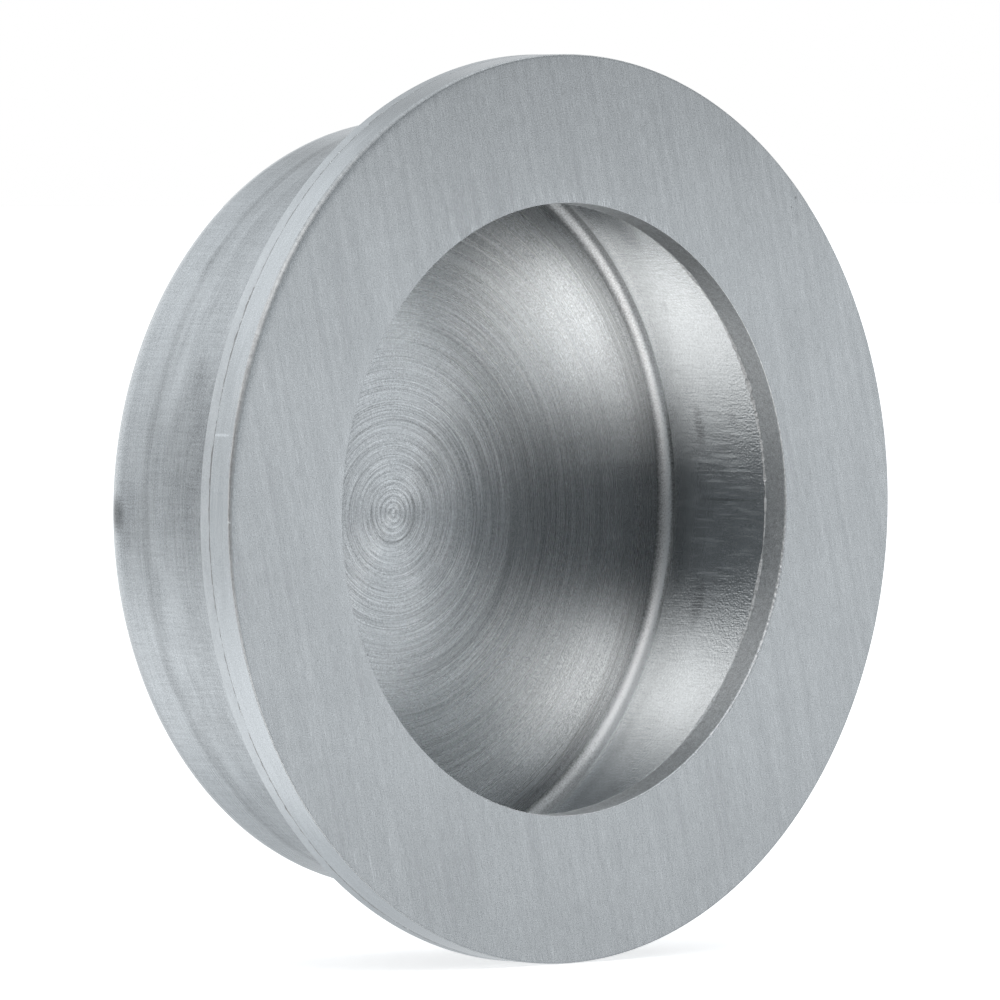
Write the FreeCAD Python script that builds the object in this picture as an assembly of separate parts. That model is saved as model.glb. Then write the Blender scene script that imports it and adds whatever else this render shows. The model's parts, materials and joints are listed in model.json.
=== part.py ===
"""Round flush pull for a sliding or cupboard door, in millimetres.

Two turned pieces on one axis. A drawn cup with an outward flange drops into a round hole in the
door, and a flat cover ring lies on the flange. The ring's hole is smaller than the cup, so the
ring stands over the recess as a lip for the fingers.

Frame: the axis is the Y axis, and the front looks along -Y with +Z up. The origin is on the axis
in the plane of the flange's back face, which is the door's surface. Everything behind the door's
surface has a positive Y.
"""

import FreeCAD, Part
import math
import os

# Driving dimensions of the whole pull
FLANGE_DIAMETER = 65.0
RECESS_DEPTH = 17.8

# Cover ring, a flat plate
RING_THICKNESS = 2.1
MOUTH_DIAMETER = 43.8
OUTER_BREAK_WIDTH = 0.35
OUTER_BREAK_DROP = 0.30
MOUTH_BREAK = 0.12

# Drawn cup, one sheet of even thickness
SHEET_THICKNESS = 0.95
CUP_BORE_DIAMETER = 53.8
FLOOR_CORNER_RADIUS = 1.0
FLANGE_COIN = 0.30
SEAM_BREAK = 0.08

# Levels along the axis, worked out from the sizes above
DOOR_SURFACE = 0.0
SEAM = DOOR_SURFACE - SHEET_THICKNESS
FRONT_FACE = SEAM - RING_THICKNESS
FLOOR_FRONT = FRONT_FACE + RECESS_DEPTH
FLOOR_BACK = FLOOR_FRONT + SHEET_THICKNESS

# Radii, worked out from the sizes above
FLANGE_RADIUS = FLANGE_DIAMETER / 2
MOUTH_RADIUS = MOUTH_DIAMETER / 2
CUP_INSIDE_RADIUS = CUP_BORE_DIAMETER / 2
CUP_OUTSIDE_RADIUS = CUP_INSIDE_RADIUS + SHEET_THICKNESS


def point(radius, level):
    """A point of a lathe profile: its distance from the axis and its place along it."""
    return FreeCAD.Vector(radius, level, 0)


def straight(*corners):
    """The straight edges of a profile through these (radius, level) corners."""
    pairs = zip(corners, corners[1:])
    return [Part.LineSegment(point(*start), point(*end)).toShape() for start, end in pairs]


def bend(centre, radius, start_angle, end_angle):
    """A round stretch of a profile, given by two angles in degrees from the outward direction."""
    def at(angle):
        turn = math.radians(angle)
        return point(centre[0] + radius * math.cos(turn), centre[1] + radius * math.sin(turn))
    middle_angle = (start_angle + end_angle) / 2
    return [Part.Arc(at(start_angle), at(middle_angle), at(end_angle)).toShape()]


def turned(edges):
    """Turn a closed profile once round the Y axis."""
    outline = Part.Wire(Part.__sortEdges__(edges))
    section = Part.Face(outline)
    return section.revolve(FreeCAD.Vector(0, 0, 0), FreeCAD.Vector(0, 1, 0), 360)


def cover_ring():
    """The flat ring in front. Brushing has worn its outer edge into a slant, and the edge of the
    mouth is broken so that it doesn't cut the fingers."""
    return turned(straight(
        (MOUTH_RADIUS, SEAM),
        (MOUTH_RADIUS, FRONT_FACE + MOUTH_BREAK),
        (MOUTH_RADIUS + MOUTH_BREAK, FRONT_FACE),
        (FLANGE_RADIUS - OUTER_BREAK_WIDTH, FRONT_FACE),
        (FLANGE_RADIUS, FRONT_FACE + OUTER_BREAK_DROP),
        (FLANGE_RADIUS, SEAM),
        (MOUTH_RADIUS, SEAM),
    ))


def floor_corner(radius):
    """The round corner between floor and wall, on the inside or the outside of the sheet."""
    centre = (CUP_INSIDE_RADIUS - FLOOR_CORNER_RADIUS, FLOOR_FRONT - FLOOR_CORNER_RADIUS)
    return bend(centre, radius, 0, 90)


def recess_cup():
    """The drawn cup: one sheet that runs from the middle of the floor out to the flange's rim.

    Where the wall turns into the flange, the front is round and the back is coined into a small
    slant, so that the flange lies flat on the door. The rim's front edge is broken, and that
    leaves the fine groove of the seam under the ring.
    """
    floor_flat = CUP_INSIDE_RADIUS - FLOOR_CORNER_RADIUS
    wall_end = FLOOR_FRONT - FLOOR_CORNER_RADIUS
    flange_flat = CUP_OUTSIDE_RADIUS + FLANGE_COIN
    wall_start = DOOR_SURFACE + FLANGE_COIN
    inside = straight(
        (0, FLOOR_FRONT),
        (floor_flat, FLOOR_FRONT),
    )
    inside += floor_corner(FLOOR_CORNER_RADIUS)
    inside += straight(
        (CUP_INSIDE_RADIUS, wall_end),
        (CUP_INSIDE_RADIUS, wall_start),
    )
    inside += bend((flange_flat, wall_start), FLANGE_COIN + SHEET_THICKNESS, 180, 270)
    rim = straight(
        (flange_flat, SEAM),
        (FLANGE_RADIUS - SEAM_BREAK, SEAM),
        (FLANGE_RADIUS, SEAM + SEAM_BREAK),
        (FLANGE_RADIUS, DOOR_SURFACE),
        (flange_flat, DOOR_SURFACE),
    )
    outside = straight(
        (flange_flat, DOOR_SURFACE),
        (CUP_OUTSIDE_RADIUS, wall_start),
        (CUP_OUTSIDE_RADIUS, wall_end),
    )
    outside += floor_corner(FLOOR_CORNER_RADIUS + SHEET_THICKNESS)
    outside += straight(
        (floor_flat, FLOOR_BACK),
        (0, FLOOR_BACK),
        (0, FLOOR_FRONT),
    )
    return turned(inside + rim + outside)


def main():
    os.makedirs("parts", exist_ok=True)
    pieces = {
        "cover_ring": cover_ring(),
        "recess_cup": recess_cup(),
    }
    for name, solid in pieces.items():
        solid.exportStep("parts/" + name + ".step")
        print(name, "volume", round(solid.Volume, 1), "valid", solid.isValid())


main()
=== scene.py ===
"""The looks of a round flush pull, in metres, in the frame of its solids.

The pull is two turned pieces of stainless steel on the Y axis: a flat cover ring that looks along
-Y, and a drawn cup behind it. Both are turned again here from the frame's own sizes, finely enough
for their worn edges, and each region of their surface gets the finish that its making left on it.
Some of these finishes also carry painted light and painted shade.
"""

import json
import math

import bpy
from mathutils import Matrix, Vector, noise


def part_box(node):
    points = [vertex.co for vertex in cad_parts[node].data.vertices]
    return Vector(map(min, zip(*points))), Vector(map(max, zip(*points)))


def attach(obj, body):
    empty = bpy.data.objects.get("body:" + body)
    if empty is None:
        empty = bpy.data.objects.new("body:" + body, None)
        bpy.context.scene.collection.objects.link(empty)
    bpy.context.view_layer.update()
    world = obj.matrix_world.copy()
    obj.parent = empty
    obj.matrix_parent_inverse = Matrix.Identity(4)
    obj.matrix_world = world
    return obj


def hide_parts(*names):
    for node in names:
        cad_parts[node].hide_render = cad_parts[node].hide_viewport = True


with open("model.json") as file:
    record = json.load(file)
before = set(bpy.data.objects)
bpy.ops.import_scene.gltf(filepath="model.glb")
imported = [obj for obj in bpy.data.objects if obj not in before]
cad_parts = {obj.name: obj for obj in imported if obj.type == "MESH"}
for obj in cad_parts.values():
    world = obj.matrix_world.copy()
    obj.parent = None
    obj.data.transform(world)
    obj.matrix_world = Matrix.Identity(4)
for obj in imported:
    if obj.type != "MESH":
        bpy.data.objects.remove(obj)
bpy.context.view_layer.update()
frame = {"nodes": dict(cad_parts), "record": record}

MM = 0.001


def nearest_the_axis(node):
    """The radius of the hole through a solid: how near to the Y axis it comes."""
    return min(math.hypot(v.co.x, v.co.z) for v in frame["nodes"][node].data.vertices)


# Sizes that the frame gives
ring_low, ring_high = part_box("cover_ring")
_, cup_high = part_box("recess_cup")
cup_wall = next(m for m in frame["record"]["mounts"] if m["name"] == "cup_wall")
FRONT_FACE = ring_low.y
SEAM = ring_high.y
FLOOR_BACK = cup_high.y
FLANGE_RADIUS = ring_high.x
MOUTH_RADIUS = nearest_the_axis("cover_ring")
CUP_OUTSIDE_RADIUS = cup_wall["dims"]["r_mm"] * MM
SHEET = -SEAM
CUP_INSIDE_RADIUS = CUP_OUTSIDE_RADIUS - SHEET
FLOOR_FRONT = FLOOR_BACK - SHEET

# Worn and bent edges
OUTER_BREAK_WIDTH = 0.35 * MM
OUTER_BREAK_DROP = 0.30 * MM
ROLL_OFF_WIDTH = 0.65 * MM
ROLL_OFF_DROP = 0.035 * MM
MOUTH_BREAK = 0.12 * MM
BURR = 0.13 * MM
MOST_WORN = math.radians(150)
LEAST_WEAR = 0.12
LEAST_ROLL_OFF = 0.02
MOUTH_MOST_BROKEN = math.radians(-30)
MOST_BURR = math.radians(10)
FLOOR_CORNER_RADIUS = 1.0 * MM
LEAD_IN_WIDTH = 2.2 * MM
LEAD_IN_SLOPE = 7.0
FLANGE_COIN = 0.30 * MM
SEAM_BREAK = 0.08 * MM

# The floor was turned about a point a little off the cup's axis
TURNING_CENTRE = (-0.57 * MM, FLOOR_FRONT, -0.70 * MM)

# The face was brushed in straight lines that lean to the left at the top
BRUSH_LEAN = math.radians(13.6)

# How finely the pieces are turned, and how far beside an edge the flat next to it begins
RING_TURNS = 1536
CUP_TURNS = 1024
GUARD = 0.04 * MM

AXIS = (0.0, 0.0, 0.0)


# Turned shapes

def arc(centre, radius, start, end, steps):
    """Points of a round stretch of a profile, between two angles in degrees from outward."""
    points = []
    for i in range(steps + 1):
        angle = math.radians(start + (end - start) * i / steps)
        points.append((centre[0] + radius * math.cos(angle), centre[1] + radius * math.sin(angle)))
    return points


def rolled(start, width, drop, slope, steps):
    """A round stretch of a face that rolls over, from a point where it has this slope in degrees
    to one that lies width further out and drop lower, and the slope that it has there."""
    end_slope = 2 * math.degrees(math.atan2(drop, width)) - slope
    radius = width / (math.sin(math.radians(end_slope)) - math.sin(math.radians(slope)))
    centre = (start[0] - radius * math.sin(math.radians(slope)),
              start[1] + radius * math.cos(math.radians(slope)))
    return arc(centre, radius, 270 + slope, 270 + end_slope, steps), end_slope


def uneven(turn, fineness, seed):
    """Smooth noise round a circle, about -1 to 1, the same at each run."""
    place = Vector((math.cos(turn) * fineness, math.sin(turn) * fineness, seed))
    smoothness, finer_by, layers = 0.8, 2.0, 4
    return noise.fractal(place, smoothness, finer_by, layers)


def on_side(turn, middle, narrowness):
    """How much a place on a circle lies on this side: 1 in its middle and 0 opposite."""
    return (0.5 + 0.5 * math.cos(turn - middle)) ** narrowness


class Profile:
    """A lathe profile of (radius, level) points, in stretches that each have their finish."""

    def __init__(self, *start):
        self.points = [start]
        self.finishes = []
        self.sharp = [True]

    def to(self, finish, *points, smooth=False):
        """Goes on to these points. The point it starts from is a sharp edge unless smooth."""
        self.sharp[-1] = not smooth
        for point in points:
            self.points.append(point)
            self.finishes.append(finish)
            self.sharp.append(False)
        self.sharp[-1] = True


def turned(name, profile_at, turns, finishes):
    """Turns a closed profile, which may change a little on its way, once round the Y axis."""
    first = profile_at(0.0)
    count = len(first.points) - 1
    vertices, rows = [], []
    for i in range(turns):
        turn = 2 * math.pi * i / turns
        row = []
        for j, (radius, level) in enumerate(profile_at(turn).points[:-1]):
            if radius == 0 and rows:
                row.append(rows[0][j])
                continue
            row.append(len(vertices))
            vertices.append((radius * math.cos(turn), level, radius * math.sin(turn)))
        rows.append(row)
    used = list(dict.fromkeys(first.finishes))
    faces, slots, sharp = [], [], set()
    for i in range(turns):
        near, far = rows[i], rows[(i + 1) % turns]
        for j in range(count):
            k = (j + 1) % count
            corners = list(dict.fromkeys((near[j], far[j], far[k], near[k])))
            if len(corners) > 2:
                faces.append(corners)
                slots.append(used.index(first.finishes[j]))
            if first.sharp[j] and near[j] != far[j]:
                sharp.add((min(near[j], far[j]), max(near[j], far[j])))
    mesh = bpy.data.meshes.new(name)
    mesh.from_pydata(vertices, [], faces)
    for finish in used:
        mesh.materials.append(finishes[finish])
    mesh.polygons.foreach_set("material_index", slots)
    mesh.polygons.foreach_set("use_smooth", [True] * len(faces))
    for edge in mesh.edges:
        edge.use_edge_sharp = (min(edge.vertices), max(edge.vertices)) in sharp
    mesh.update()
    piece = bpy.data.objects.new(name, mesh)
    bpy.context.scene.collection.objects.link(piece)
    return piece


def ring_profile(turn):
    """The cover ring: a worn round outer edge, the face, the mouth's wall and the back."""
    most_worn = on_side(turn, MOST_WORN, 8)
    wear = LEAST_WEAR + (1 - LEAST_WEAR) * most_worn
    width = OUTER_BREAK_WIDTH * wear * (1 + 0.12 * uneven(turn, 60, 1.0))
    waves = 0.10 * uneven(turn, 90, 2.0) + 0.10 * uneven(turn, 12, 3.0)
    drop = OUTER_BREAK_DROP * wear * (1 + waves)
    lower_right = on_side(turn, MOUTH_MOST_BROKEN, 6)
    mouth = MOUTH_BREAK * (0.20 + 1.4 * lower_right) * (1 + 0.7 * uneven(turn, 60, 4.0))
    ragged = max(0.1, 0.9 + 0.9 * uneven(turn, 5, 5.0) + 0.9 * uneven(turn, 80, 5.5))
    burr = BURR * ragged * (0.1 + 0.9 * on_side(turn, MOST_BURR, 3))
    roll_drop = ROLL_OFF_DROP * (LEAST_ROLL_OFF + (1 - LEAST_ROLL_OFF) * most_worn)
    flat_end = (FLANGE_RADIUS - width - ROLL_OFF_WIDTH, FRONT_FACE)
    roll_off, slope = rolled(flat_end, ROLL_OFF_WIDTH, roll_drop, 0, 5)
    worn, _ = rolled(roll_off[-1], width, drop - roll_drop, slope, 8)
    lip = arc((MOUTH_RADIUS + mouth, FRONT_FACE + mouth), mouth, 270, 180, 4)
    p = Profile(FLANGE_RADIUS, SEAM)
    p.to("ring_side", worn[-1])
    p.to("worn_edge", *worn[-2::-1])
    p.to("face", *roll_off[-2::-1], smooth=True)
    p.to("face", (flat_end[0] - GUARD, FRONT_FACE), smooth=True)
    p.to("face", (MOUTH_RADIUS + mouth + GUARD, FRONT_FACE), smooth=True)
    p.to("face", lip[0], smooth=True)
    p.to("mouth_edge", *lip[1:], smooth=True)
    p.to("mouth_wall", (MOUTH_RADIUS, FRONT_FACE + mouth + GUARD), smooth=True)
    p.to("mouth_wall", (MOUTH_RADIUS, SEAM - burr), smooth=True)
    p.to("burr", (MOUTH_RADIUS - 0.9 * burr, SEAM))
    p.to("ring_back", (FLANGE_RADIUS, SEAM))
    return p


def cup_profile(turn):
    """The drawn cup: its rim, the inside with the floor, and the outside."""
    groove = SEAM_BREAK * max(0.2, 1.2 + 1.2 * uneven(turn, 6, 6.0) + 1.3 * uneven(turn, 60, 6.5))
    bend_centre = (CUP_OUTSIDE_RADIUS + FLANGE_COIN, FLANGE_COIN)
    corner_centre = (CUP_INSIDE_RADIUS - FLOOR_CORNER_RADIUS, FLOOR_FRONT - FLOOR_CORNER_RADIUS)
    lead_in_radius = LEAD_IN_WIDTH / math.sin(math.radians(LEAD_IN_SLOPE))
    rise = lead_in_radius * (1 - math.cos(math.radians(LEAD_IN_SLOPE)))
    bend = arc(bend_centre, FLANGE_COIN + SHEET, 270, 180, 8)
    inner = arc((corner_centre[0], corner_centre[1] - rise), FLOOR_CORNER_RADIUS,
                0, 90 - LEAD_IN_SLOPE, 14)
    lead_in = arc((inner[-1][0] - LEAD_IN_WIDTH, FLOOR_FRONT - lead_in_radius), lead_in_radius,
                  90 - LEAD_IN_SLOPE, 90, 6)
    outer = arc(corner_centre, FLOOR_CORNER_RADIUS + SHEET, 90, 0, 12)
    p = Profile(FLANGE_RADIUS, 0.0)
    p.to("rim", (FLANGE_RADIUS, SEAM + groove))
    p.to("seam", (FLANGE_RADIUS - groove, SEAM))
    p.to("flange_front", (bend[0][0] + GUARD, SEAM))
    p.to("flange_front", bend[0], smooth=True)
    p.to("wall_inside", *bend[1:], smooth=True)
    p.to("wall_inside", (CUP_INSIDE_RADIUS, bend[-1][1] + GUARD), smooth=True)
    p.to("wall_inside", (CUP_INSIDE_RADIUS, inner[0][1] - GUARD), smooth=True)
    p.to("wall_inside", inner[0], smooth=True)
    p.to("corner", *inner[1:], smooth=True)
    p.to("floor", *lead_in[1:], smooth=True)
    p.to("floor", (lead_in[-1][0] - GUARD, FLOOR_FRONT), smooth=True)
    p.to("floor", (0, FLOOR_FRONT), smooth=True)
    p.to("floor_back", (0, FLOOR_BACK))
    p.to("floor_back", (outer[0][0] - GUARD, FLOOR_BACK))
    p.to("floor_back", outer[0], smooth=True)
    p.to("wall_outside", *outer[1:], smooth=True)
    p.to("wall_outside", (CUP_OUTSIDE_RADIUS, outer[-1][1] - GUARD), smooth=True)
    p.to("wall_outside", (CUP_OUTSIDE_RADIUS, FLANGE_COIN), smooth=True)
    p.to("flange_back", (CUP_OUTSIDE_RADIUS + FLANGE_COIN, 0.0))
    p.to("flange_back", (FLANGE_RADIUS, 0.0))
    return p


# Finishes

# The plain shades, the roughness and the anisotropy below started from a search by another script
# against the greys of the photograph. Most were changed one by one since.
STEEL = (0.68, 0.70, 0.71)
PALEST = 1.4


class Graph:
    """Short calls for the nodes of one shader."""

    def __init__(self, owner):
        owner.use_nodes = True
        self.tree = owner.node_tree
        self.tree.nodes.clear()

    def add(self, kind, settings=(), **inputs):
        node = self.tree.nodes.new(kind)
        for key, value in dict(settings).items():
            setattr(node, key, value)
        for key, value in inputs.items():
            self.give(node.inputs[key.replace("_", " ")], value)
        return node

    def give(self, socket, value):
        if isinstance(value, bpy.types.NodeSocket):
            self.tree.links.new(value, socket)
        else:
            socket.default_value = value

    def math(self, operation, a, b=0.0):
        node = self.add("ShaderNodeMath", {"operation": operation})
        self.give(node.inputs[0], a)
        self.give(node.inputs[1], b)
        return node.outputs[0]

    def vector(self, operation, a, b=None, scale=None):
        node = self.add("ShaderNodeVectorMath", {"operation": operation})
        self.give(node.inputs[0], a)
        if b is not None:
            self.give(node.inputs[1], b)
        if scale is not None:
            self.give(node.inputs["Scale"], scale)
        return node.outputs["Value" if operation in ("LENGTH", "DOT_PRODUCT") else 0]

    def split(self, vector):
        return self.add("ShaderNodeSeparateXYZ", Vector=vector).outputs[:]

    def join(self, x, y, z):
        return self.add("ShaderNodeCombineXYZ", X=x, Y=y, Z=z).outputs[0]

    def times(self, *factors):
        total = factors[0]
        for factor in factors[1:]:
            total = self.math("MULTIPLY", total, factor)
        return total

    def ramp(self, value, low, high, start=0.0, end=1.0):
        """Turns low to high into start to end, smoothly, and holds the ends."""
        node = self.add("ShaderNodeMapRange", {"interpolation_type": "SMOOTHSTEP"})
        for socket, number in zip(node.inputs, (value, low, high, start, end)):
            self.give(socket, number)
        return node.outputs[0]

    def mix(self, share, a, b):
        """Turns colour a into colour b by this share."""
        return self.add("ShaderNodeMixRGB", Fac=share, Color1=a, Color2=b).outputs[0]


class Finish(Graph):
    """The nodes of one metal finish. Lengths and places in it are in millimetres."""

    def __init__(self, name):
        self.material = bpy.data.materials.new(name)
        super().__init__(self.material)
        here = self.add("ShaderNodeTexCoord").outputs["Object"]
        self.place = self.vector("SCALE", here, scale=1 / MM)
        self.x, self.y, self.z = self.split(self.place)

    def noise(self, at, detail=1.0):
        """Noise of one cell per unit, 0 to 1 and mostly near 0.5."""
        made = self.add("ShaderNodeTexNoise", Vector=at, Scale=1.0, Detail=detail)
        return made.outputs["Fac"]

    def grain(self, pitch, detail=1.0):
        """Noise that is alike in all directions, with this pitch in millimetres."""
        return self.noise(self.vector("SCALE", self.place, scale=1 / pitch), detail)

    def lines(self, across, along, pitch, length, seed):
        """Noise drawn out into short lines of this pitch and length."""
        return self.noise(self.join(self.times(across, 1 / pitch),
                                    self.times(along, 1 / length), seed))

    def drawn(self, across, along):
        """Noise with this many cells per millimetre across the axis and along it."""
        return self.noise(self.vector("MULTIPLY", self.place, (across, along, across)))

    def plus(self, base, *parts):
        """base plus each (share, value) part."""
        total = base
        for share, value in parts:
            total = self.math("ADD", self.times(value, share), total)
        return total

    def about(self, base, *parts):
        """base plus each (share, noise) part, taken about the noise's middle."""
        centred = [(share, self.math("SUBTRACT", value, 0.5)) for share, value in parts]
        return self.plus(base, *centred)

    def turning(self, centre=AXIS):
        """Distance from a lathe's centre, and the direction from it as two numbers."""
        off = self.vector("SUBTRACT", self.place, tuple(c / MM for c in centre))
        flat = self.vector("MULTIPLY", off, (1, 0, 1))
        x, _, z = self.split(self.vector("NORMALIZE", flat))
        return self.vector("LENGTH", flat), x, z

    def arcs(self, depth, x, z, pitch, spread, seed, detail=1.0):
        """Noise drawn out round the axis: pitch along depth, and arcs of about 1/spread radian."""
        return self.noise(self.join(self.math("ADD", self.times(depth, 1 / pitch), seed),
                                    self.times(x, spread), self.times(z, spread)), detail)

    def spot(self, centre, half_sizes, place=None):
        """1 in the middle of a soft oval spot of this half length in x, y and z, 0 outside it."""
        off = self.vector("SUBTRACT", place or self.place, centre)
        return self.ramp(self.vector("LENGTH", self.vector("DIVIDE", off, half_sizes)), 1.0, 0.2)

    def round_the_axis(self, centre=AXIS):
        """The direction in which a lathe's marks run."""
        off = self.vector("SUBTRACT", self.place, tuple(c / MM for c in centre))
        return self.vector("NORMALIZE", self.vector("CROSS_PRODUCT", (0, 1, 0), off))

    def across_the_turning(self, centre=AXIS):
        """The direction over the surface that crosses the marks of a lathe."""
        normal = self.add("ShaderNodeNewGeometry").outputs["Normal"]
        across = self.vector("CROSS_PRODUCT", normal, self.round_the_axis(centre))
        return self.vector("NORMALIZE", across)

    def grooved(self, height, depth):
        """Normals of a surface whose height, 0 to 1, stands for this depth in millimetres."""
        bump = self.add("ShaderNodeBump", Height=height, Strength=1.0, Distance=depth * MM)
        return bump.outputs[0]

    def metal(self, shade, roughness, anisotropic, blurred_along, normal=None):
        """Steel, lighter or darker by shade. Anisotropic blur runs across the marks."""
        colour = self.vector("SCALE", STEEL, scale=self.math("MINIMUM", shade, PALEST))
        shader = self.add("ShaderNodeBsdfPrincipled", Base_Color=colour, Metallic=1.0,
                          Roughness=roughness, Anisotropic=anisotropic, Tangent=blurred_along)
        if normal is not None:
            self.give(shader.inputs["Normal"], normal)
        self.add("ShaderNodeOutputMaterial", Surface=shader.outputs[0])
        return self.material


def face():
    """Straight brushing: short fine scratches under soft bands, and pale burrs above the mouth."""
    g = Finish("face")
    lean_across = (math.cos(BRUSH_LEAN), 0.0, math.sin(BRUSH_LEAN))
    lean_along = (-math.sin(BRUSH_LEAN), 0.0, math.cos(BRUSH_LEAN))
    across = g.vector("DOT_PRODUCT", g.place, lean_across)
    along = g.vector("DOT_PRODUCT", g.place, lean_along)
    fine = g.lines(across, along, 0.075, 1.1, 1.0)
    bands = g.lines(across, along, 0.6, 14.0, 3.0)
    clouds = g.grain(7.0)
    specks = g.grain(0.085, detail=0.0)
    from_axis, x, z = g.turning()
    by_mouth = g.ramp(from_axis, MOUTH_RADIUS / MM + 1.2, MOUTH_RADIUS / MM + 0.1)
    above = g.ramp(z, 0.80, 0.95)
    left = g.ramp(x, -0.75, -0.95)
    burrs = g.times(g.ramp(fine, 0.56, 0.62), by_mouth, above)
    # Painted shade: the face is darker towards its top, and a little towards its bottom.
    painted_shade_top_bottom = g.math("ADD", g.ramp(g.z, 14.0, 34.0), g.ramp(g.z, -16.0, -34.0, 0.0, 0.4))
    brushed = g.join(across, 0.0, along)
    shade = g.about(0.94, (0.38, fine), (0.10, bands), (0.07, clouds), (0.55, specks))
    shade = g.plus(shade, (0.16, burrs), (0.06, g.times(by_mouth, left)), (-0.22, painted_shade_top_bottom))
    for place_across, place_along, half_length in (
            (-27.7, -9.0, 0.5), (-25.8, -18.5, 0.9), (-24.4, -19.4, 1.2),
            (-22.3, -18.4, 0.8), (-26.3, 15.8, 0.5), (-24.4, 10.3, 1.0)):
        scratch = g.spot((place_across, 0.0, place_along), (0.11, 1.0, half_length), brushed)
        shade = g.plus(shade, (0.16, scratch))
    pits = g.math("MAXIMUM", g.spot((22.9, FRONT_FACE / MM, 22.2), (0.16, 1.0, 0.13)),
                  g.spot((22.5, FRONT_FACE / MM, 21.5), (0.10, 1.0, 0.12)))
    roughness = g.about(0.25, (0.10, bands), (0.06, clouds))
    return g.metal(g.plus(shade, (-0.35, pits)), roughness, 0.8, lean_across)


def worn_edge():
    """The face's brushing has rolled this edge over and left it dull, with small nicks."""
    g = Finish("worn_edge")
    _, x, z = g.turning()
    nicks = g.arcs(g.y, x, z, 0.5, 150.0, 1.0)
    specks = g.grain(0.10, detail=0.0)
    nick = g.spot((-32.4, -2.86, -0.22), (0.3, 0.22, 0.12))
    towards_worn = g.math("ADD", g.times(x, math.cos(MOST_WORN)), g.times(z, math.sin(MOST_WORN)))
    worn = g.ramp(towards_worn, 0.60, 0.88)
    shade = g.about(1.02, (0.4, nicks), (0.3, specks))
    shade = g.plus(shade, (-0.20, worn), (0.8, nick))
    roughness = g.about(g.plus(0.60, (-0.16, worn)), (0.2, specks))
    return g.metal(shade, roughness, 0.5, g.across_the_turning())


def ring_side():
    """The ring's side: soft blotches, faint lines round the edge and one pale scratch across."""
    g = Finish("ring_side")
    _, x, z = g.turning()
    lines = g.arcs(g.y, x, z, 0.14, 9.0, 1.0)
    stains = g.arcs(g.y, x, z, 0.8, 9.0, 2.0, detail=2.0)
    specks = g.grain(0.09, detail=0.0)
    scratch = g.spot((-31.97, -1.6, 5.84), (0.6, 1.3, 0.16))
    shade = g.about(0.98, (0.16, lines), (0.20, stains), (0.30, specks))
    # Painted shade: the side is darker towards its top.
    shade = g.plus(shade, (0.30, scratch), (-0.16, g.ramp(g.z, 22.0, 31.0)))
    roughness = g.about(0.25, (0.08, lines), (0.10, stains))
    return g.metal(shade, roughness, 0.5, g.across_the_turning(), g.grooved(lines, 0.002))


def mouth_edge():
    """The broken edge of the mouth, a little uneven."""
    g = Finish("mouth_edge")
    specks = g.grain(0.13)
    return g.metal(g.about(1.05, (1.0, specks)), g.about(0.44, (0.2, specks)), 0.3,
                   g.across_the_turning())


def burr():
    """The ragged edge that punching left at the back of the ring's hole."""
    g = Finish("burr")
    specks = g.grain(0.14)
    return g.metal(g.about(0.85, (0.9, specks)), 0.6, 0.0, g.across_the_turning())


def seam():
    """The groove between ring and cup: dull, and darker as painted shade in the groove, with a few
    bright points that are painted glints.
    """
    g = Finish("seam")
    _, x, z = g.turning()
    # The bright points are painted glints.
    points = g.ramp(g.arcs(g.y, x, z, 0.5, 170.0, 1.0), 0.64, 0.72)
    return g.metal(g.plus(0.66, (0.6, points)), 0.6, 0.0, g.across_the_turning())


def mouth_wall():
    """The wall of the ring's hole, cut straight through and left as cut."""
    g = Finish("mouth_wall")
    _, x, z = g.turning()
    cut = g.arcs(g.y, x, z, 0.35, 60.0, 1.0)
    specks = g.grain(0.10, detail=0.0)
    # Painted shade: the wall of the hole is darker towards its top.
    shade = g.about(g.ramp(g.z, 12.0, 20.0, 1.0, 0.78), (0.5, cut), (0.7, specks))
    return g.metal(shade, g.about(0.50, (0.2, cut)), 0.5, g.across_the_turning(),
                   g.grooved(cut, 0.008))


def hidden(name):
    """Faces that are seen only from behind: plain drawn or turned steel."""
    g = Finish(name)
    distance, x, z = g.turning()
    lines = g.arcs(distance, x, z, 0.14, 3.0, 1.0)
    clouds = g.grain(3.0)
    specks = g.grain(0.10, detail=0.0)
    shade = g.about(0.92, (0.20, lines), (0.12, clouds), (0.25, specks))
    return g.metal(shade, g.about(0.34, (0.14, lines), (0.1, clouds)), 0.6,
                   g.across_the_turning(), g.grooved(lines, 0.006))


def rim():
    """The edge of the cup's flange, as pale as the ring's side."""
    g = Finish("rim")
    _, x, z = g.turning()
    stains = g.arcs(g.y, x, z, 0.6, 20.0, 1.0, detail=2.0)
    specks = g.grain(0.10, detail=0.0)
    shade = g.about(0.98, (0.25, stains), (0.30, specks))
    return g.metal(shade, g.about(0.34, (0.12, stains)), 0.4, g.across_the_turning())


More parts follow.
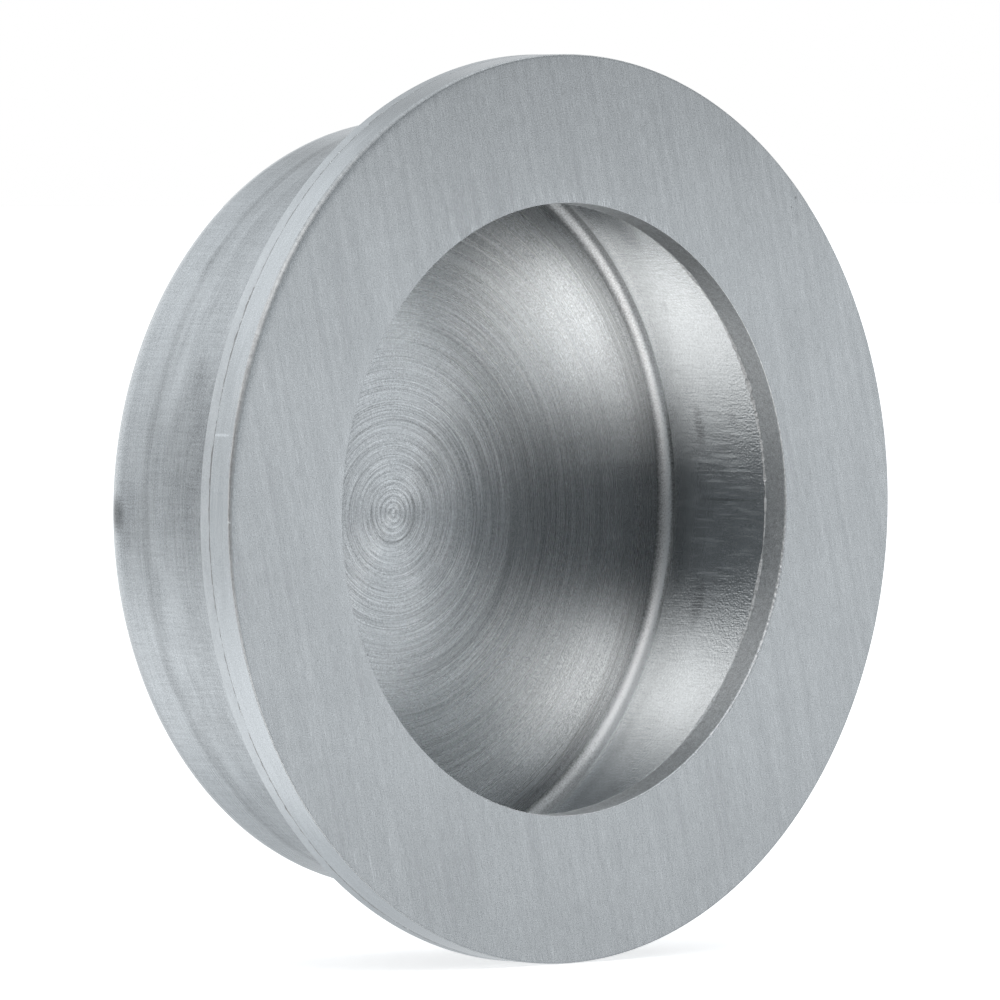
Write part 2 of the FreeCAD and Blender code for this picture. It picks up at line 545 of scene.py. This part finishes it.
def wall_inside():
    """The drawn inside wall: orange peel, scratches along the axis and a few dull smudges."""
    g = Finish("wall_inside")
    scratches = g.drawn(9.0, 0.6)
    streaks = g.drawn(3.2, 0.28)
    peel = g.grain(0.16)
    patches = g.drawn(0.3, 0.5)
    smudges = g.math("MAXIMUM", g.spot((26.3, 10.5, 5.3), (2.0, 0.7, 2.2)),
                     g.spot((25.6, 10.0, -7.8), (2.5, 0.9, 2.6)))
    # Painted shade: the wall is darker at its top and towards both of its ends.
    top = g.spot((18.6, 10.2, 19.4), (2.6, 1.6, 2.0))
    painted_shade_upper_end = g.spot((15.9, 11.0, 21.7), (5.0, 6.5, 3.2))
    painted_shade_lower_end = g.spot((16.2, 11.0, -21.6), (4.0, 5.0, 2.6))
    long_mark = g.spot((26.9, 8.6, -0.15), (2.0, 5.6, 0.15))
    near_ring = g.ramp(g.y, 10.0, 4.0)
    dragged = g.times(g.ramp(streaks, 0.48, 0.70), g.spot((26.9, 8.5, -0.5), (5.0, 6.0, 11.0)))
    shade = g.about(1.07, (0.25, scratches), (0.50, peel), (0.10, patches))
    shade = g.plus(shade, (0.4, dragged), (-0.14, g.ramp(patches, 0.62, 0.78)),
                   (-0.42, g.times(smudges, g.ramp(scratches, 0.25, 0.60))), (-0.30, long_mark),
                   (-0.36, painted_shade_upper_end), (-0.14, painted_shade_lower_end), (-0.22, top))
    roughness = g.about(0.10, (0.10, scratches), (0.08, patches))
    roughness = g.plus(roughness, (0.15, dragged), (0.10, g.ramp(g.y, 12.3, 13.7)))
    height = g.about(0.5, (0.25, scratches), (g.plus(0.35, (0.7, near_ring)), peel))
    return g.metal(shade, roughness, 0.5, g.round_the_axis(), g.grooved(height, 0.03))


def corner():
    """The round corner under the wall. The sheet was stretched most along a narrow strip of it,
    which is rough and grainy. The strip is also lighter as a painted highlight, with painted shade
    beside it in the middle, at the top and at the lowest end, and painted light along its lower
    part."""
    g = Finish("corner")
    distance, _, _ = g.turning()
    inside = CUP_INSIDE_RADIUS / MM
    low = g.ramp(g.z, 3.0, -5.0)
    strip = g.times(g.ramp(distance, inside - 0.90, inside - 0.55),
                    g.math("MAXIMUM", low, g.ramp(distance, inside - 0.03, inside - 0.22)))
    # In the middle: painted light on the strip and painted shade on either side of it.
    middle = g.ramp(g.math("ABSOLUTE", g.math("ADD", g.z, 2.0)), 10.0, 6.0)
    painted_shade_floor_side = g.ramp(distance, inside - 0.14, inside - 0.60, 0.0, 0.62)
    painted_shade_wall_side = g.ramp(distance, inside - 0.10, inside - 0.01, 0.0, 0.7)
    beside = g.math("MAXIMUM", painted_shade_floor_side, painted_shade_wall_side)
    specks = g.grain(0.11)
    # Painted light along the lower part, painted shade at the lowest end and at the top.
    painted_light_and_shade_low = g.ramp(g.z, -20.5, -17.0, -0.25, 0.14)
    shade = g.plus(0.98, (0.32, strip), (painted_light_and_shade_low, g.ramp(g.z, -7.0, -12.0)),
                   (-0.24, g.ramp(g.z, 8.0, 14.0)), (g.plus(0.15, (-0.88, beside)), middle))
    roughness = g.plus(0.33, (0.11, strip), (0.04, g.ramp(g.z, -9.0, -13.0)))
    return g.metal(g.about(shade, (1.2, specks)), g.about(roughness, (0.10, specks)), 0.6,
                   g.across_the_turning(), g.grooved(specks, 0.008))


def floor():
    """The turned floor: long fine rings about a point off the axis, deepest in the middle."""
    g = Finish("floor")
    distance, x, z = g.turning(TURNING_CENTRE)
    fine = g.arcs(distance, x, z, 0.095, 1.1, 1.3, detail=0.0)
    marks = g.arcs(distance, x, z, 0.19, 1.0, 2.4)
    bands = g.arcs(distance, x, z, 1.3, 0.6, 3.7)
    specks = g.grain(0.085, detail=0.0)
    level = FLOOR_FRONT / MM
    # A patch with fainter rings that is also lighter, as a painted highlight.
    smoother_with_painted_highlight = g.spot((14.6, level, 11.4), (8.0, 3.0, 8.0))
    deep = g.plus(g.ramp(distance, 19.0, 7.0, 0.36, 1.0), (-0.12, smoother_with_painted_highlight))
    ripple_pitch = 0.45
    waves = g.math("SINE", g.times(distance, 2 * math.pi / ripple_pitch))
    ripple = g.times(waves, g.ramp(distance, 4.5, 0.6))
    shade = g.about(0.97, (g.times(deep, 0.75), fine), (g.times(deep, 0.45), marks))
    shade = g.about(shade, (g.times(deep, 0.30), bands), (0.7, specks))
    from_axis, _, _ = g.turning()
    inside = CUP_INSIDE_RADIUS / MM
    # Painted shade: the floor darkens towards the corner, along its marks.
    painted_shade_by_corner = g.ramp(from_axis, inside - 4.6, inside - 1.2)
    shade = g.plus(shade, (0.15, ripple), (g.ramp(marks, 0.40, 0.62, -0.14, -0.32), painted_shade_by_corner),
                   (0.22, smoother_with_painted_highlight))
    # Soft spots of painted light and painted shade over the floor.
    for right_at, up_at, half_width, half_height, change in (
            (16.2, -14.5, 6.0, 7.0, -0.12), (3.2, 3.3, 2.8, 3.4, -0.14), (7.1, -8.0, 3.6, 6.0, 0.10),
            (-3.0, 0.0, 4.0, 14.0, 0.05), (12.0, 18.5, 7.0, 3.0, -0.08)):
        painted_light_and_shade_spot = g.spot((right_at, level, up_at), (half_width, 3.0, half_height))
        shade = g.plus(shade, (change, painted_light_and_shade_spot))
    for radius, width, change in (
            (2.1, 0.40, -0.26), (4.3, 0.25, -0.15), (6.8, 0.3, -0.12), (7.9, 0.2, -0.12)):
        off = g.math("ABSOLUTE", g.math("SUBTRACT", distance, radius))
        line = g.times(g.ramp(off, width, 0.0), g.ramp(bands, 0.35, 0.65))
        shade = g.plus(shade, (change, line))
    roughness = g.about(0.27, (0.12, marks), (0.08, bands))
    return g.metal(shade, roughness, 0.95, g.across_the_turning(TURNING_CENTRE))


def wall_outside():
    """The drawn outside wall: satin, darker and stained near the flange, with faint lines."""
    g = Finish("wall_outside")
    _, x, z = g.turning()
    stains = g.arcs(g.y, x, z, 2.4, 5.0, 1.0, detail=3.0)
    rings = g.arcs(g.y, x, z, 0.16, 5.0, 2.0)
    scratches = g.drawn(7.0, 0.35)
    specks = g.grain(0.09, detail=0.0)
    wavy = g.about(g.y, (1.2, stains))
    by_flange = g.ramp(wavy, 11.35, 10.75)
    line = g.times(g.ramp(wavy, 11.7, 11.2), g.ramp(wavy, 10.6, 11.1))
    pale = g.times(g.ramp(wavy, 10.2, 9.7), g.ramp(wavy, 9.0, 9.5))
    # The spot called dull and the two spots at the wall's end are painted shade, the lighter spot
    # lower down is painted light, and the darkening towards the wall's rounded end is painted shade.
    dull = g.spot((-27.5, 6.0, 4.0), (5.0, 5.5, 11.0))
    painted_shade_end = g.spot((-27.85, 12.4, -0.7), (3.0, 2.6, 4.5))
    painted_shade_end_spot = g.spot((-27.85, 14.2, -0.1), (2.0, 1.2, 1.9))
    painted_light_low = g.spot((-26.6, 9.6, -8.6), (4.0, 3.4, 4.6))
    shade = g.about(0.86, (0.22, rings), (0.22, scratches), (0.50, specks),
                    (g.plus(0.15, (0.35, by_flange)), stains))
    shade = g.plus(shade, (-0.12, dull), (-0.13, painted_shade_end), (-0.42, painted_shade_end_spot), (0.11, painted_light_low),
                   (-0.09, by_flange), (-0.13, line), (0.05, pale),
                   (-0.15, g.ramp(g.y, 13.6, 14.6)))
    roughness = g.about(0.27, (0.16, stains), (0.06, rings))
    height = g.about(0.5, (0.5, rings), (0.5, scratches))
    return g.metal(shade, roughness, 0.3, g.across_the_turning(), g.grooved(height, 0.008))


finishes = {
    "face": face(),
    "worn_edge": worn_edge(),
    "ring_side": ring_side(),
    "mouth_edge": mouth_edge(),
    "mouth_wall": mouth_wall(),
    "burr": burr(),
    "ring_back": hidden("ring_back"),
    "seam": seam(),
    "rim": rim(),
    "flange_front": hidden("flange_front"),
    "flange_back": hidden("flange_back"),
    "wall_inside": wall_inside(),
    "corner": corner(),
    "floor": floor(),
    "floor_back": hidden("floor_back"),
    "wall_outside": wall_outside(),
}

ring = turned("cover_ring_worn", ring_profile, RING_TURNS, finishes)
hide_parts("cover_ring")
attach(ring, "root")

cup = turned("recess_cup_drawn", cup_profile, CUP_TURNS, finishes)
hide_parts("recess_cup")
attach(cup, "root")


# Camera, as the photograph was taken: nearly level, from the front left, with a long lens

# The angles, the lens and the aim were fitted to the outlines in the photograph
AZIMUTH = math.radians(-43.33)
ELEVATION = math.radians(1.79)
DISTANCE = 0.8
LENS = 403.0
AIM_RIGHT = -4.86 * MM
AIM_UP = 0.666 * MM

towards = Vector((math.sin(AZIMUTH) * math.cos(ELEVATION),
                  -math.cos(AZIMUTH) * math.cos(ELEVATION),
                  math.sin(ELEVATION)))
right = Vector((math.cos(AZIMUTH), math.sin(AZIMUTH), 0.0))
up = towards.cross(right)
camera = bpy.data.objects.new("camera", bpy.data.cameras.new("camera"))
camera.data.lens = LENS
camera.data.clip_start = 0.01
camera.data.clip_end = 100.0
camera.matrix_world = Matrix((
    (right.x, up.x, towards.x, 0.0),
    (right.y, up.y, towards.y, 0.0),
    (right.z, up.z, towards.z, 0.0),
    (0.0, 0.0, 0.0, 1.0),
))
camera.location = (Vector((0.0, FRONT_FACE, 0.0)) + towards * DISTANCE
                   + right * AIM_RIGHT + up * AIM_UP)
bpy.context.scene.collection.objects.link(camera)
bpy.context.scene.camera = camera


# Studio

ROOM_TINT = (0.93, 1.0, 1.06)
PANEL_TINT = (1.03, 1.0, 0.98)
PANEL_STRENGTH = 2.2
WHITE = (1.0, 1.0, 1.0, 1.0)
BEHIND_RADIUS = 6
BEHIND_EDGE = 4
FLOOR_GLOW = 0.55
FLOOR_HALF_WIDTH = 8.0
STANDS_AT = -FLANGE_RADIUS - 0.05 * MM


def light(strength):
    """The colour of the room's light: bright panels are nearly neutral, dim walls a little blue."""
    share = min(strength / PANEL_STRENGTH, 1.0) ** 1.5
    return (*(strength * (r + (p - r) * share) for r, p in zip(ROOM_TINT, PANEL_TINT)), 1.0)


class Studio(Graph):
    """Soft light from all round: bright panels and dark screens in a pale room.

    A direction is an azimuth and an elevation in degrees, seen from the object. Azimuth 0 is
    straight in front of the face, and 90 is at its right.
    """

    def __init__(self, world):
        super().__init__(world)
        self.way = self.add("ShaderNodeTexCoord").outputs["Generated"]
        x, y, self.height = self.split(self.way)
        azimuth = self.math("ARCTAN2", x, self.times(y, -1.0))
        self.round = self.math("ADD", self.times(azimuth, 0.5 / math.pi), 0.5)
        self.light = None

    def row(self, *stops):
        """One level of the room, given by its light at some azimuths from -180 to 180."""
        node = self.add("ShaderNodeValToRGB", Fac=self.round)
        ramp = node.color_ramp
        ramp.interpolation = "EASE"
        while len(ramp.elements) < len(stops):
            ramp.elements.new(0.5)
        for i, (azimuth, _) in enumerate(stops):
            ramp.elements[i].position = (azimuth + 180) / 360
        for i, (_, strength) in enumerate(stops):
            ramp.elements[i].color = light(strength)
        return node.outputs["Color"]

    def above(self, elevation, edge, colour):
        """Puts this colour over all that is higher than the elevation, with a soft edge."""
        low, high = (math.sin(math.radians(elevation + side * edge / 2)) for side in (-1, 1))
        self.light = self.mix(self.ramp(self.height, low, high), self.light, colour)

    def spot(self, azimuth, elevation, radius, edge, colour):
        """Puts a round spot of this colour over the room, with a soft edge."""
        a, e = math.radians(azimuth), math.radians(elevation)
        middle = (math.sin(a) * math.cos(e), -math.cos(a) * math.cos(e), math.sin(e))
        near = self.vector("DOT_PRODUCT", self.way, middle)
        low, high = (math.cos(math.radians(radius + side * edge / 2)) for side in (1, -1))
        self.light = self.mix(self.ramp(near, low, high), self.light, colour)


world = bpy.data.worlds.new("studio")
studio = Studio(world)

# Where the light of this room comes from, and how strong it is, was mostly fitted to the greys of
# the photograph by another script and rounded. Some panels were then changed one by one.
studio.light = light(0.2)
studio.above(-61, 5, studio.row(
    (-180, 0.7), (-165, 1.0), (-130, 1.05), (-104, 0.15), (-70, 0.12), (-56, 1.5), (-44, 2.3),
    (-24, 2.3), (13, 0.4), (26, 2.3), (32, 0.9), (75, 0.75), (120, 0.36), (180, 0.7)))
studio.above(-24, 38, studio.row(
    (-180, 1.2), (-160, 1.0), (-118, 0.36), (-90, 2.8), (-83, 0.06), (-20, 0.1), (-12, 0.65),
    (1, 0.6), (12, 0.15), (16, 0.2), (31, 0.46), (47, 0.6), (54, 0.0), (63, 0.08), (80, 0.7),
    (86, 0.9), (100, 0.08), (160, 1.2), (180, 1.2)))
studio.above(28, 26, studio.row(
    (-180, 0.82), (-158, 0.95), (-128, 0.68), (-80, 2.0), (-72, 0.2), (-45, 1.9), (-33, 2.3),
    (16, 0.4), (33, 1.3), (54, 0.6), (70, 2.3), (96, 0.03), (130, 0.15), (180, 0.82)))
studio.above(50, 7, light(0.8))
studio.spot(46, -1.5, 7, 5.5, light(1.15))
studio.spot(45, 7.5, 4, 3, light(0.33))

# The camera sees a white room. The metal mirrors only a small part of it, straight behind the pull.
studio.spot(math.degrees(AZIMUTH) + 180, -math.degrees(ELEVATION),
            BEHIND_RADIUS, BEHIND_EDGE, WHITE)
camera_sees = studio.add("ShaderNodeLightPath").outputs["Is Camera Ray"]
background = studio.add("ShaderNodeBackground", Color=studio.mix(camera_sees, studio.light, WHITE))
studio.add("ShaderNodeOutputWorld", Surface=background.outputs[0])
bpy.context.scene.world = world
bpy.context.scene.view_settings.view_transform = "Standard"


def floor_paint():
    """White to the camera, with the object's soft shadow. It can be seen through from below."""
    material = bpy.data.materials.new("studio_floor")
    g = Graph(material)
    paint = g.add("ShaderNodeBsdfDiffuse", Color=(0.9, 0.9, 0.9, 1))
    glow = g.add("ShaderNodeEmission", Color=(1, 1, 1, 1), Strength=FLOOR_GLOW)
    white = g.add("ShaderNodeAddShader")
    g.give(white.inputs[0], paint.outputs[0])
    g.give(white.inputs[1], glow.outputs[0])
    below = g.add("ShaderNodeNewGeometry").outputs["Backfacing"]
    sided = g.add("ShaderNodeMixShader", Fac=below)
    g.give(sided.inputs[1], white.outputs[0])
    g.give(sided.inputs[2], g.add("ShaderNodeBsdfTransparent").outputs[0])
    g.add("ShaderNodeOutputMaterial", Surface=sided.outputs[0])
    return material


floor_mesh = bpy.data.meshes.new("studio_floor")
corners = [(x * FLOOR_HALF_WIDTH, y * FLOOR_HALF_WIDTH, STANDS_AT)
           for x, y in ((-1, -1), (1, -1), (1, 1), (-1, 1))]
floor_mesh.from_pydata(corners, [], [(0, 1, 2, 3)])
floor_mesh.materials.append(floor_paint())
studio_floor = bpy.data.objects.new("studio_floor", floor_mesh)
for ray in ("diffuse", "glossy", "transmission", "shadow"):
    setattr(studio_floor, "visible_" + ray, False)
bpy.context.scene.collection.objects.link(studio_floor)
